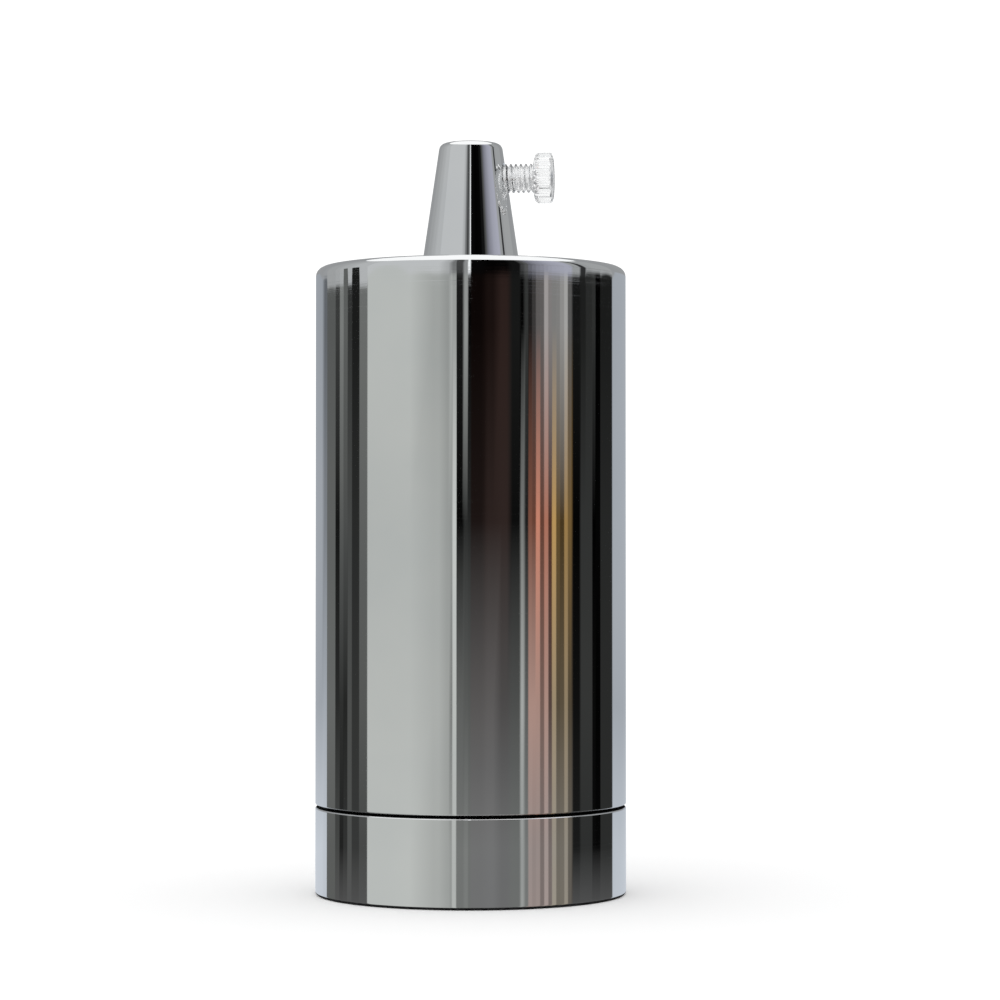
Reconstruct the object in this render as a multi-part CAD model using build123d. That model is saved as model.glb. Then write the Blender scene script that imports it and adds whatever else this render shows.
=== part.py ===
from build123d import *
import os
from math import cos, hypot, radians

# Pendant lampholder with an E27 socket, a screw-on bottom ring and a conical cord grip.
# Millimetres, +Z up. The origin is the centre of the ring's bottom edge, on the axis.
# External threads are cut as ring grooves within their major diameter. The threads that
# they turn in are plain bores, just over that diameter.

# Outside
body_radius = 21.5
ring_height = 12.1
seam_gap = 0.3
cup_top = 86.6
cup_top_rounding = 1.2
edge_break = 0.15
grip_height = 17.4
grip_base_radius = 6.85
grip_top_radius = 4.3
grip_top_rounding = 0.7

# Bottom ring
ring_lip_thickness = 1.5
ring_lip_bore_radius = 18.5
ring_foot_radius = 21.6
ring_foot_height = 2.6
thread_clearance = 0.05

# Cup and its spigot
cup_wall = 1.5
cup_top_wall = 2.0
spigot_thread_radius = 20.5
spigot_bore_radius = 19.0
spigot_end = 4.5
spigot_pitch = 1.0
spigot_thread_depth = 0.55
spigot_thread_top = 11.2
key_width = 3.0
key_height = 2.0
key_clearance = 0.2

# M10 x 1 nipple and what hangs on it under the cup's top wall
nipple_radius = 5.0
nipple_bore_radius = 4.0
nipple_reach_down = 8.1
nipple_reach_up = 5.8
nipple_pitch = 1.0
nipple_thread_depth = 0.5
nipple_hole_radius = 5.08
grip_thread_length = 6.8
tooth_washer_thickness = 0.7
tooth_washer_radius = 8.6
tooth_count = 14
earth_plate_thickness = 1.0
earth_plate_radius = 8.0
earth_tab_width = 8.0
earth_tab_reach = 15.5
earth_tab_drop = 14.7
lock_nut_height = 3.0
lock_nut_flats = 14.0

# Cord bore, and the M4 x 0.7 clamping screw
cord_bore_radius = 3.1
cord_bore_bevel = 0.4
thumb_screw_lift = 12.5
thumb_screw_azimuth = -7.0
thumb_shank_radius = 2.0
thumb_pitch = 0.7
thumb_thread_depth = 0.4
thumb_head_start = 9.05
thumb_head_length = 2.5
thumb_head_bevel = 0.25
thumb_head_radius = 3.5
thumb_flute_count = 15
thumb_flute_radius = 0.5

# Porcelain body
mouth_low = 0.8
boss_radius = 18.0
flange_radius = 19.8
flange_top = 4.5
porcelain_radius = 18.3
porcelain_top = 34.0
porcelain_top_rounding = 1.5
mouth_radius = 14.25
mouth_depth = 4.2
mouth_rounding = 0.9
shell_pocket_radius = 13.95
pocket_ceiling = 26.0
contact_pocket_radius = 7.2
contact_ceiling = 28.0
barrier_thickness = 3.0
barrier_length = 14.0
barrier_height = 9.0

# E27 lamp thread, rolled from sheet
lamp_major_radius = 13.3
lamp_minor_radius = 12.2
lamp_pitch = 3.629
lamp_turns = 5
lamp_land = 0.6
shell_sheet = 0.35
shell_low = 5.2
shell_floor_bore_radius = 7.0

# Centre contact
strip_width = 5.0
strip_thickness = 0.4
bracket_thickness = 0.5
bracket_near = -6.6
bracket_far = -2.5
contact_hinge_x = -2.3
contact_hinge_z = 27.55
contact_tip_x = 2.6
contact_tip_z = 22.6
contact_end_x = 4.2
contact_end_z = 23.6
rivet_x = -4.8
rivet_radius = 1.2
rivet_head_radius = 2.0
rivet_head_height = 0.8

# Terminals and their screws
shell_screw_reach = 10.0
shell_screw_radius = 1.5
shell_screw_head_radius = 2.4
shell_screw_head_height = 1.4
shell_screw_top = 36.2
screw_clearance = 0.06
fixing_nut_flats = 5.5
fixing_nut_height = 2.2
terminal_width = 7.0
terminal_depth = 8.0
terminal_height = 8.8
terminal_near = 8.2
terminal_screw_x = 12.0
terminal_foot_height = 0.9
terminal_foot_width = 5.0
wire_hole_lift = 4.4
wire_hole_radius = 1.5
terminal_screw_radius = 1.75
terminal_screw_head_radius = 2.9
terminal_screw_head_height = 2.0
terminal_screw_tip_lift = 3.2
slot_width = 0.8
slot_depth = 0.8

# Earth screw, which lies along X in the bracket's tab
earth_screw_drop = 9.7
earth_screw_radius = 1.5
earth_screw_end = -17.4
earth_screw_head_radius = 2.8
earth_screw_head_height = 1.8
earth_washer_radius = 3.2
earth_washer_thickness = 0.9

top_wall_low = cup_top - cup_top_wall
grip_top = cup_top + grip_height
thumb_screw_z = cup_top + thumb_screw_lift
nipple_low = cup_top - nipple_reach_down
nipple_high = cup_top + nipple_reach_up
earth_tab_low = cup_top - earth_tab_drop
earth_screw_z = cup_top - earth_screw_drop


def turned(outline):
    """Solid of revolution about Z from a list of (radius, height) corners."""
    corners = [(radius, 0, height) for radius, height in outline]
    face = make_face(Polyline(*corners, close=True).edges())
    return revolve(face, axis=Axis.Z)


def tube(outer, inner, low, high):
    """Plain tube about Z."""
    return turned([(inner, low), (outer, low), (outer, high), (inner, high)])


def rod(radius, low, high):
    """Plain rod about Z."""
    return Pos(0, 0, (low + high) / 2) * Cylinder(radius, high - low)


def thread_corners(radius, depth, pitch, low, high):
    """Outline of V grooves between two heights, with a flat crest between grooves."""
    corners = []
    crest = pitch / 8
    count = int((high - low) / pitch)
    for turn in range(count):
        start = low + turn * pitch
        corners.append((radius, start + crest / 2))
        corners.append((radius - depth, start + pitch / 2))
        corners.append((radius, start + pitch - crest / 2))
    return corners


def ring_edge(solid, radius, height):
    """The circular edge about Z with this radius at this height."""
    circles = solid.edges().filter_by(GeomType.CIRCLE)
    return circles.sort_by(lambda edge: hypot(edge.radius - radius, edge.center().Z - height))[0]


def screw(radius, length, head_radius, head_height):
    """Slotted screw: shank from 0 down, head from 0 up, along Z."""
    bevel = radius / 5
    outline = [
        (0, -length),
        (radius - bevel, -length),
        (radius, -length + bevel),
        (radius, 0),
        (head_radius, 0),
        (head_radius, head_height - bevel),
        (head_radius - bevel, head_height),
        (0, head_height),
    ]
    slot = Pos(0, 0, head_height) * Box(3 * head_radius, slot_width, 2 * slot_depth)
    return turned(outline) - slot


def nut(flats, height, bore_radius):
    """Hexagon nut standing on Z = 0, with its corners turned off."""
    corner_radius = flats / 2 / cos(radians(30))
    blank = extrude(RegularPolygon(corner_radius, 6), amount=height)
    bevel = (corner_radius - flats / 2) * 0.6
    outline = [
        (0, 0),
        (corner_radius - bevel, 0),
        (corner_radius, bevel),
        (corner_radius, height - bevel),
        (corner_radius - bevel, height),
        (0, height),
    ]
    return (blank & turned(outline)) - rod(bore_radius, -1, height + 1)


def make_cup_shell():
    shoulder = ring_height + seam_gap
    inner = body_radius - cup_wall
    relief = spigot_thread_radius - spigot_thread_depth
    outline = [(spigot_bore_radius, spigot_end), (relief, spigot_end)]
    outline += thread_corners(
        spigot_thread_radius, spigot_thread_depth, spigot_pitch, spigot_end + 0.5, spigot_thread_top
    )
    outline += [
        (relief, spigot_thread_top + 0.1),
        (relief, shoulder),
        (body_radius - edge_break, shoulder),
        (body_radius, shoulder + edge_break),
        (body_radius, cup_top),
        (nipple_hole_radius, cup_top),
        (nipple_hole_radius, top_wall_low),
        (inner, top_wall_low),
        (inner, shoulder + 2.5),
        (spigot_bore_radius, shoulder + 1.5),
    ]
    cup = turned(outline)
    cup = fillet(ring_edge(cup, body_radius, cup_top), cup_top_rounding)
    notch_height = key_height + key_clearance
    notch = Box(key_width + 2 * key_clearance, 2 * body_radius + 2, notch_height)
    return cup - Pos(0, 0, spigot_end + notch_height / 2) * notch


def make_retaining_ring():
    bore = spigot_thread_radius + thread_clearance
    foot_break = 0.3
    outline = [
        (ring_lip_bore_radius, 0),
        (ring_foot_radius - foot_break, 0),
        (ring_foot_radius, foot_break),
        (ring_foot_radius, foot_break + 0.7),
        (body_radius, ring_foot_height),
        (body_radius, ring_height - edge_break),
        (body_radius - edge_break, ring_height),
        (bore, ring_height),
        (bore, ring_lip_thickness),
        (ring_lip_bore_radius, ring_lip_thickness),
    ]
    return turned(outline)


def make_cord_grip():
    thread_bore = nipple_radius + thread_clearance
    thread_end = cup_top + grip_thread_length
    outline = [
        (thread_bore, cup_top),
        (grip_base_radius, cup_top),
        (grip_top_radius, grip_top),
        (cord_bore_radius + cord_bore_bevel, grip_top),
        (cord_bore_radius, grip_top - cord_bore_bevel),
        (cord_bore_radius, thread_end + 1.2),
        (thread_bore, thread_end),
    ]
    cone = turned(outline)
    cone = fillet(ring_edge(cone, grip_top_radius, grip_top), grip_top_rounding)
    side_hole = rod(thumb_shank_radius + thread_clearance, 0, body_radius)
    return cone - on_thumb_axis(side_hole)


def on_thumb_axis(shape):
    """Turns a shape made along Z, with 0 on the lampholder's axis, onto the thumb screw's axis."""
    return Pos(0, 0, thumb_screw_z) * Rot(0, 0, thumb_screw_azimuth) * Rot(0, 90, 0) * shape


def make_thumb_screw():
    tip = cord_bore_radius
    head_end = thumb_head_start + thumb_head_length
    outline = [
        (0, tip),
        (thumb_shank_radius - thumb_thread_depth, tip),
    ]
    outline += thread_corners(
        thumb_shank_radius, thumb_thread_depth, thumb_pitch, tip + 0.1, thumb_head_start
    )
    outline += [
        (thumb_shank_radius - 0.1, thumb_head_start),
        (thumb_head_radius, thumb_head_start),
        (thumb_head_radius, head_end - thumb_head_bevel),
        (thumb_head_radius - thumb_head_bevel, head_end),
        (0, head_end),
    ]
    blank = turned(outline)
    flute = Pos(thumb_head_radius + thumb_flute_radius * 0.3, 0, 0) * rod(
        thumb_flute_radius, thumb_head_start - 0.5, head_end + 0.5
    )
    step = 360 / thumb_flute_count
    for index in range(thumb_flute_count):
        blank -= Rot(0, 0, (index + 0.5) * step) * flute
    return on_thumb_axis(blank)


def make_threaded_nipple():
    bevel = 0.4
    outline = [
        (nipple_bore_radius, nipple_low),
        (nipple_radius - bevel, nipple_low),
    ]
    outline += thread_corners(
        nipple_radius, nipple_thread_depth, nipple_pitch, nipple_low + bevel, nipple_high - bevel
    )
    outline += [
        (nipple_radius - bevel, nipple_high),
        (nipple_bore_radius, nipple_high),
    ]
    return turned(outline)


def make_tooth_washer():
    high = top_wall_low
    low = high - tooth_washer_thickness
    washer = tube(tooth_washer_radius, nipple_radius + 0.1, low, high)
    gap_length = 1.9
    gap = Pos(tooth_washer_radius, 0, (low + high) / 2) * Box(2 * gap_length, 1.5, 2 * tooth_washer_thickness)
    for index in range(tooth_count):
        washer -= Rot(0, 0, (index + 0.5) * 360 / tooth_count) * gap
    return washer


def make_earth_plate():
    high = top_wall_low - tooth_washer_thickness
    low = high - earth_plate_thickness
    disc = rod(earth_plate_radius, low, high)
    arm = Pos(-earth_tab_reach / 2, 0, (low + high) / 2) * Box(
        earth_tab_reach, earth_tab_width, earth_plate_thickness
    )
    tab_height = high - earth_tab_low
    tab_x = -earth_tab_reach + earth_plate_thickness / 2
    tab = Pos(tab_x, 0, earth_tab_low + tab_height / 2) * Box(
        earth_plate_thickness, earth_tab_width, tab_height
    )
    plate = disc + arm + tab
    bend = plate.edges().filter_by(Axis.Y).sort_by(Axis.X)
    outer_bend = bend.filter_by(lambda edge: edge.center().Z > high - 0.01)[0]
    plate = fillet(outer_bend, earth_plate_thickness * 0.9)
    plate -= rod(nipple_radius + 0.1, low - 1, high + 1)
    wire_hole = Pos(0, 0, earth_screw_z) * Rot(0, -90, 0) * rod(
        earth_screw_radius + screw_clearance, 0, 2 * earth_tab_reach
    )
    return plate - wire_hole


def make_lock_nut():
    high = top_wall_low - tooth_washer_thickness - earth_plate_thickness
    blank = nut(lock_nut_flats, lock_nut_height, nipple_radius + thread_clearance)
    return Pos(0, 0, high - lock_nut_height) * blank


def earth_head_seat():
    """X of the face that the earth screw's head rests on."""
    return -earth_tab_reach + earth_plate_thickness + earth_washer_thickness


def make_earth_screw():
    length = earth_head_seat() - earth_screw_end
    blank = screw(earth_screw_radius, length, earth_screw_head_radius, earth_screw_head_height)
    return Pos(earth_head_seat(), 0, earth_screw_z) * Rot(0, 90, 0) * blank


def make_earth_wire_washer():
    blank = turned([
        (earth_screw_radius + screw_clearance, 0.4),
        (earth_washer_radius - 0.5, 0.4),
        (earth_washer_radius - 0.5, 0),
        (earth_washer_radius, 0),
        (earth_washer_radius, earth_washer_thickness),
        (earth_screw_radius + screw_clearance, earth_washer_thickness),
    ])
    seat = -earth_tab_reach + earth_plate_thickness
    return Pos(seat, 0, earth_screw_z) * Rot(0, 90, 0) * blank


def shell_screw_places():
    """Centres of the neutral screw and of the two fixing screws."""
    return [(shell_screw_reach, 0), (0, shell_screw_reach), (0, -shell_screw_reach)]


def make_porcelain_body():
    outline = [
        (0, contact_ceiling),
        (contact_pocket_radius, contact_ceiling),
        (contact_pocket_radius, pocket_ceiling),
        (shell_pocket_radius, pocket_ceiling),
        (shell_pocket_radius, mouth_low + mouth_depth),
        (mouth_radius, mouth_low + mouth_depth - 0.6),
        (mouth_radius, mouth_low),
        (boss_radius, mouth_low),
        (boss_radius, ring_lip_thickness),
        (flange_radius, ring_lip_thickness),
        (flange_radius, flange_top),
        (porcelain_radius, flange_top),
        (porcelain_radius, porcelain_top),
        (0, porcelain_top),
    ]
    body = turned(outline)
    body = fillet(ring_edge(body, mouth_radius, mouth_low), mouth_rounding)
    body = fillet(ring_edge(body, porcelain_radius, porcelain_top), porcelain_top_rounding)
    barrier = Box(barrier_thickness, barrier_length, barrier_height + 1)
    barrier = fillet(barrier.edges().filter_by(Axis.Z), 1.2)
    barrier = fillet(barrier.faces().sort_by(Axis.Z)[-1].edges(), 0.8)
    body += Pos(0, 0, porcelain_top + (barrier_height - 1) / 2) * barrier
    key = Box(key_width, 1.8, key_height + 0.5)
    for side in (-1, 1):
        body += Pos(0, side * (porcelain_radius + 0.5), flange_top + key_height / 2 - 0.25) * key
    for x, y in shell_screw_places():
        body -= Pos(x, y, 0) * rod(shell_screw_radius + 0.1, pocket_ceiling - 1, porcelain_top + 1)
    return body - Pos(rivet_x, 0, 0) * rod(rivet_radius + 0.1, contact_ceiling - 1, porcelain_top + 1)


def lamp_thread_corners(offset):
    """Rolled lamp thread between its first and last crest, moved outwards by offset."""
    corners = []
    slope = (lamp_pitch - 2 * lamp_land) / 2
    for turn in range(lamp_turns):
        start = shell_low + 0.4 + turn * lamp_pitch
        corners.append((lamp_major_radius + offset, start + lamp_land))
        corners.append((lamp_minor_radius + offset, start + lamp_land + slope))
        corners.append((lamp_minor_radius + offset, start + 2 * lamp_land + slope))
        corners.append((lamp_major_radius + offset, start + lamp_pitch))
    return corners


def make_screw_shell():
    floor_low = pocket_ceiling - shell_sheet
    inner = [(lamp_major_radius, shell_low)]
    inner += lamp_thread_corners(0)
    inner += [(lamp_major_radius, floor_low), (shell_floor_bore_radius, floor_low)]
    outer = [(lamp_major_radius + shell_sheet, shell_low)]
    outer += lamp_thread_corners(shell_sheet)
    outer += [(lamp_major_radius + shell_sheet, pocket_ceiling), (shell_floor_bore_radius, pocket_ceiling)]
    shell = turned(inner + outer[::-1])
    for x, y in shell_screw_places():
        shell -= Pos(x, y, 0) * rod(shell_screw_radius + screw_clearance, floor_low - 1, pocket_ceiling + 1)
    return shell


def shell_screw_blank():
    """One shell screw at the axis, head down, shank up through the porcelain."""
    seat = pocket_ceiling - shell_sheet
    length = shell_screw_top - seat
    blank = screw(shell_screw_radius, length, shell_screw_head_radius, shell_screw_head_height)
    return Pos(0, 0, seat) * Rot(180, 0, 0) * blank


def make_neutral_shell_screw():
    return Pos(shell_screw_reach, 0, 0) * shell_screw_blank()


def make_shell_fixing_screws():
    return Compound(children=[
        Pos(0, side * shell_screw_reach, 0) * shell_screw_blank() for side in (-1, 1)
    ])


def make_shell_fixing_nuts():
    blank = nut(fixing_nut_flats, fixing_nut_height, shell_screw_radius + screw_clearance)
    return Compound(children=[
        Pos(0, side * shell_screw_reach, porcelain_top) * blank for side in (-1, 1)
    ])


def make_contact_bracket():
    middle_x = (bracket_near + bracket_far) / 2
    bracket = Pos(middle_x, 0, contact_ceiling - bracket_thickness / 2) * Box(
        bracket_far - bracket_near, strip_width, bracket_thickness
    )
    return bracket - Pos(rivet_x, 0, 0) * rod(rivet_radius + 0.02, contact_ceiling - 2, contact_ceiling + 1)


def make_contact_rivet():
    head_top = contact_ceiling - bracket_thickness
    foot_top = porcelain_top + terminal_foot_height
    outline = [
        (0, head_top - rivet_head_height),
        (rivet_head_radius * 0.7, head_top - rivet_head_height),
        (rivet_head_radius, head_top - rivet_head_height / 3),
        (rivet_head_radius, head_top),
        (rivet_radius, head_top),
        (rivet_radius, foot_top),
        (rivet_head_radius, foot_top),
        (rivet_head_radius * 0.8, foot_top + rivet_head_height),
        (0, foot_top + rivet_head_height),
    ]
    return Pos(rivet_x, 0, 0) * turned(outline)


def make_centre_contact():
    run = (contact_tip_x - contact_hinge_x, contact_tip_z - contact_hinge_z)
    rise = (contact_end_x - contact_tip_x, contact_end_z - contact_tip_z)
    first = strip_thickness / hypot(*run)
    second = strip_thickness / hypot(*rise)
    lower = [
        (contact_hinge_x, contact_hinge_z),
        (contact_tip_x, contact_tip_z),
        (contact_end_x, contact_end_z),
    ]
    upper = [
        (contact_end_x - rise[1] * second, contact_end_z + rise[0] * second),
        (contact_tip_x, contact_tip_z + strip_thickness * 1.25),
        (contact_hinge_x - run[1] * first, contact_hinge_z + run[0] * first),
    ]
    corners = [(x, 0, z) for x, z in lower + upper]
    face = make_face(Polyline(*corners, close=True).edges())
    blade = extrude(face, amount=strip_width / 2, both=True)
    tip = blade.edges().filter_by(Axis.Y).sort_by(Axis.Z)[0]
    return fillet(tip, 0.5)


def make_terminal(side, foot_end):
    """Terminal block on the porcelain: side is +1 or -1 along X, foot_end is where its foot ends."""
    block_x = side * (terminal_near + terminal_width / 2)
    block = Pos(block_x, 0, porcelain_top + terminal_height / 2) * Box(
        terminal_width, terminal_depth, terminal_height
    )
    block = fillet(block.edges().filter_by(Axis.Z), 0.8)
    foot_length = abs(block_x - foot_end)
    foot = Pos((block_x + foot_end) / 2, 0, porcelain_top + terminal_foot_height / 2) * Box(
        foot_length, terminal_foot_width, terminal_foot_height
    )
    terminal = block + foot
    wire_hole = Pos(side * terminal_screw_x, 0, porcelain_top + wire_hole_lift) * Rot(90, 0, 0) * Cylinder(
        wire_hole_radius, 2 * terminal_depth
    )
    screw_hole = Pos(side * terminal_screw_x, 0, 0) * rod(
        terminal_screw_radius + screw_clearance,
        porcelain_top + terminal_screw_tip_lift - 0.1,
        porcelain_top + terminal_height + 1,
    )
    return terminal - wire_hole - screw_hole


def make_live_terminal():
    terminal = make_terminal(-1, rivet_x + 2.2)
    return terminal - Pos(rivet_x, 0, 0) * rod(rivet_radius + 0.02, porcelain_top - 1, porcelain_top + 3)


def make_neutral_terminal():
    terminal = make_terminal(1, terminal_near - 1)
    hole = rod(shell_screw_radius + screw_clearance, porcelain_top - 1, shell_screw_top + 0.3)
    return terminal - Pos(shell_screw_reach, 0, 0) * hole


def make_terminal_screw(side):
    seat = porcelain_top + terminal_height
    length = terminal_height - terminal_screw_tip_lift
    blank = screw(
        terminal_screw_radius, length, terminal_screw_head_radius, terminal_screw_head_height
    )
    return Pos(side * terminal_screw_x, 0, seat) * blank


pieces = {
    "cup_shell": make_cup_shell(),
    "retaining_ring": make_retaining_ring(),
    "cord_grip": make_cord_grip(),
    "thumb_screw": make_thumb_screw(),
    "threaded_nipple": make_threaded_nipple(),
    "lock_nut": make_lock_nut(),
    "tooth_washer": make_tooth_washer(),
    "earth_plate": make_earth_plate(),
    "earth_screw": make_earth_screw(),
    "earth_wire_washer": make_earth_wire_washer(),
    "porcelain_body": make_porcelain_body(),
    "screw_shell": make_screw_shell(),
    "neutral_shell_screw": make_neutral_shell_screw(),
    "shell_fixing_screws": make_shell_fixing_screws(),
    "shell_fixing_nuts": make_shell_fixing_nuts(),
    "contact_bracket": make_contact_bracket(),
    "contact_rivet": make_contact_rivet(),
    "centre_contact": make_centre_contact(),
    "live_terminal": make_live_terminal(),
    "neutral_terminal": make_neutral_terminal(),
    "live_terminal_screw": make_terminal_screw(-1),
    "neutral_terminal_screw": make_terminal_screw(1),
}

os.makedirs("parts", exist_ok=True)
for name, piece in pieces.items():
    export_step(piece, f"parts/{name}.step")
    print(name, round(piece.volume, 1), "mm3", piece.is_valid)
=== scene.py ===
"""A pendant lampholder: bright cup, screw-on ring, cord grip with its thumb screw, and the socket inside.

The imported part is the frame. The outer pieces are replaced by surfaces with real threads, flutes and
rounded edges, and the pieces inside keep their shape and get their finish. Sizes in the classes are in
millimetres and become metres when a mesh is made. Z is up and the ring's underside is at height 0.
"""

import logging
import math
from dataclasses import dataclass, field
from enum import Enum
from typing import Callable, Sequence

import bmesh
import bpy
import numpy as np
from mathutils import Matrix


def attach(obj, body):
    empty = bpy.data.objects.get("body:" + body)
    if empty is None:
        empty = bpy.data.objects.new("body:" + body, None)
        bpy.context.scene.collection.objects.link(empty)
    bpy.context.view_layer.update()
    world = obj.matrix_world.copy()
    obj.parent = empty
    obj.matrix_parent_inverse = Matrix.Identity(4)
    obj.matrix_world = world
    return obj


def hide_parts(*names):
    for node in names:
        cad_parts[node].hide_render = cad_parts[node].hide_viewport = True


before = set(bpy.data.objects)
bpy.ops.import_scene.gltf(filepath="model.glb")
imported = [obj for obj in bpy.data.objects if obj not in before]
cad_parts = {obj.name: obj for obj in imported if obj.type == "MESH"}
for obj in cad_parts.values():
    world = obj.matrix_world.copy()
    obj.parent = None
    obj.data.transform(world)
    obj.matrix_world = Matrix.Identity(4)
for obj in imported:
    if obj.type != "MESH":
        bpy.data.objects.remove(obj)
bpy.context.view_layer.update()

MM = 0.001
FULL_TURN = 2 * math.pi
ARC_ROWS = 6
GUARD = 0.03
MERGE_DISTANCE = 2e-7
SHARP_ANGLE = math.radians(38)
MIX_SHARE, MIX_FIRST, MIX_SECOND, MIX_RESULT = 0, 6, 7, 2

log = logging.getLogger("lampholder")
Warp = Callable[[np.ndarray, np.ndarray, np.ndarray], tuple[np.ndarray, np.ndarray]]


class Body(Enum):
    """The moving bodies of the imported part."""

    CUP = "cup"
    SOCKET = "socket"
    RING = "ring"
    GRIP = "grip"
    CLAMP_SCREW = "clamp_screw"
    NIPPLE_STACK = "nipple_stack"


class Slot(Enum):
    """The record's material slots; each new piece names one."""

    BRIGHT_CHROME = "bright_chrome"
    CLEAR_PLASTIC = "clear_plastic"
    PLATED_STEEL = "plated_steel"
    PLATED_SHELL = "plated_shell"


# ---------------------------------------------------------------------------
# Surfaces
# ---------------------------------------------------------------------------


@dataclass(frozen=True)
class Corner:
    """A corner of an outline.

    radius and height place it, rounding is the radius of its arc, and rows is the number of extra
    points on the way to the next corner.
    """

    radius: float
    height: float
    rounding: float = 0.06
    rows: int = 0


@dataclass
class Patch:
    """A grid of points with the cells that are kept, ready to become faces."""

    points: np.ndarray
    round_rows: bool = False
    round_columns: bool = False
    keep: np.ndarray | None = None

    def faces(self, first: int) -> np.ndarray:
        """Lists the four corners of each kept cell.

        A cell (i, j) takes the points (i, j), (i, j+1), (i+1, j+1) and (i+1, j), and the last row or
        column goes on to the first one where the grid is round that way.

        Args:
            first: the number of the grid's first vertex in the mesh.

        Returns:
            An array with one row of four vertex numbers for each cell.
        """
        rows, columns = self.points.shape[:2]
        i = np.arange(rows if self.round_rows else rows - 1)
        j = np.arange(columns if self.round_columns else columns - 1)
        i, j = np.meshgrid(i, j, indexing="ij")
        below, beside = (i + 1) % rows, (j + 1) % columns
        cells = np.stack(
            [i * columns + j, i * columns + beside, below * columns + beside, below * columns + j], axis=-1
        )
        if self.keep is not None:
            return cells[self.keep] + first
        return cells.reshape(-1, 4) + first


def rounded_outline(corners: Sequence[Corner]) -> np.ndarray:
    """Samples an outline and rounds its corners.

    At a corner where the line turns by t, an arc of radius q starts q tan(t/2) before the corner and ends
    as far after it. A guard point beside each end keeps the shading of the straight part true.

    Args:
        corners: the corners, anticlockwise in the plane of radius and height; the last goes on to the first.

    Returns:
        Points as rows of (radius, height).
    """
    place = np.array([(c.radius, c.height) for c in corners], float)
    into = place - np.roll(place, 1, axis=0)
    out = np.roll(place, -1, axis=0) - place
    into /= np.linalg.norm(into, axis=1, keepdims=True)
    out /= np.linalg.norm(out, axis=1, keepdims=True)
    turn = np.arctan2(into[:, 0] * out[:, 1] - into[:, 1] * out[:, 0], (into * out).sum(axis=1))
    inward = np.sign(turn)[:, None] * np.stack([-into[:, 1], into[:, 0]], axis=1)
    share = np.linspace(0, 1, ARC_ROWS)[:, None]
    pieces: list[np.ndarray] = []
    for k, corner in enumerate(corners):
        if corner.rounding == 0:
            points = place[k : k + 1]
        else:
            q = corner.rounding
            reach = q * math.tan(abs(turn[k]) / 2)
            centre = place[k] - into[k] * reach + inward[k] * q
            bend = share * abs(turn[k])
            arc = centre - inward[k] * q * np.cos(bend) + into[k] * q * np.sin(bend)
            before = place[k] - into[k] * (reach + GUARD)
            after = place[k] + out[k] * (reach + GUARD)
            points = np.concatenate([[before], arc, [after]])
        pieces.append(points)
    rows: list[np.ndarray] = []
    for k, corner in enumerate(corners):
        rows.append(pieces[k])
        if corner.rows:
            start, end = pieces[k][-1], pieces[(k + 1) % len(pieces)][0]
            step = np.linspace(0, 1, corner.rows + 2)[1:-1, None]
            rows.append(start + (end - start) * step)
    return np.concatenate(rows)


def even_columns(count: int, start: float = 0.0) -> np.ndarray:
    """Angles of evenly spaced columns round a full turn, the first at start."""
    return start + np.arange(count) * FULL_TURN / count


def turned(outline: np.ndarray, angles: np.ndarray, warp: Warp | None = None) -> np.ndarray:
    """Carries an outline round the Z axis.

    The point for outline row (r, z) and angle a is (r cos a, r sin a, z), after warp has changed r and z.

    Args:
        outline: rows of (radius, height).
        angles: the angle of each column, in radians.
        warp: gives a new radius and height from the radius, height and angle of every point.

    Returns:
        Points as an array of rows, columns and coordinates.
    """
    r, a = np.meshgrid(outline[:, 0], angles, indexing="ij")
    z = np.repeat(outline[:, 1:2], len(angles), axis=1)
    if warp is not None:
        r, z = warp(r, z, a)
    return np.stack([r * np.cos(a), r * np.sin(a), z], axis=-1)


def make_piece(name: str, patches: Sequence[Patch]) -> bpy.types.Object:
    """Turns grids into one closed, smooth mesh object.

    Points of neighbouring grids that lie on each other become one, which closes seams and poles.

    Args:
        name: the object's name.
        patches: the grids, in millimetres.

    Returns:
        The new object, at the origin, with its place in its mesh.
    """
    points = np.concatenate([p.points.reshape(-1, 3) for p in patches]) * MM
    starts = np.cumsum([0] + [p.points.shape[0] * p.points.shape[1] for p in patches])
    faces = np.concatenate([p.faces(int(s)) for p, s in zip(patches, starts)])
    mesh = bpy.data.meshes.new(name)
    mesh.vertices.add(len(points))
    mesh.vertices.foreach_set("co", points.astype(np.float32).ravel())
    mesh.loops.add(faces.size)
    mesh.loops.foreach_set("vertex_index", faces.astype(np.int32).ravel())
    mesh.polygons.add(len(faces))
    mesh.polygons.foreach_set("loop_start", np.arange(0, faces.size, 4, dtype=np.int32))
    mesh.update(calc_edges=True)
    work = bmesh.new()
    work.from_mesh(mesh)
    bmesh.ops.remove_doubles(work, verts=work.verts, dist=MERGE_DISTANCE)
    loose = [v for v in work.verts if not v.link_faces]
    bmesh.ops.delete(work, geom=loose, context="VERTS")
    work.to_mesh(mesh)
    work.free()
    mesh.shade_smooth()
    mesh.set_sharp_from_angle(angle=SHARP_ANGLE)
    piece = bpy.data.objects.new(name, mesh)
    bpy.context.scene.collection.objects.link(piece)
    return piece


def lathe_piece(name: str, outline: np.ndarray, angles: np.ndarray, warp: Warp) -> bpy.types.Object:
    """Makes a closed piece from a closed outline carried round the Z axis and warped."""
    return make_piece(name, [Patch(turned(outline, angles, warp), round_rows=True, round_columns=True)])


def disc(name: str, radii: np.ndarray, height: float, columns: int) -> bpy.types.Object:
    """Makes a flat disc that faces up.

    Args:
        name: the object's name.
        radii: the radii of its rings of points, from the widest to 0.
        height: where it lies.
        columns: how many points a ring has.

    Returns:
        The new object.
    """
    outline = np.stack([radii, np.full(len(radii), height)], axis=1)
    return make_piece(name, [Patch(turned(outline, even_columns(columns)), round_columns=True)])


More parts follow.
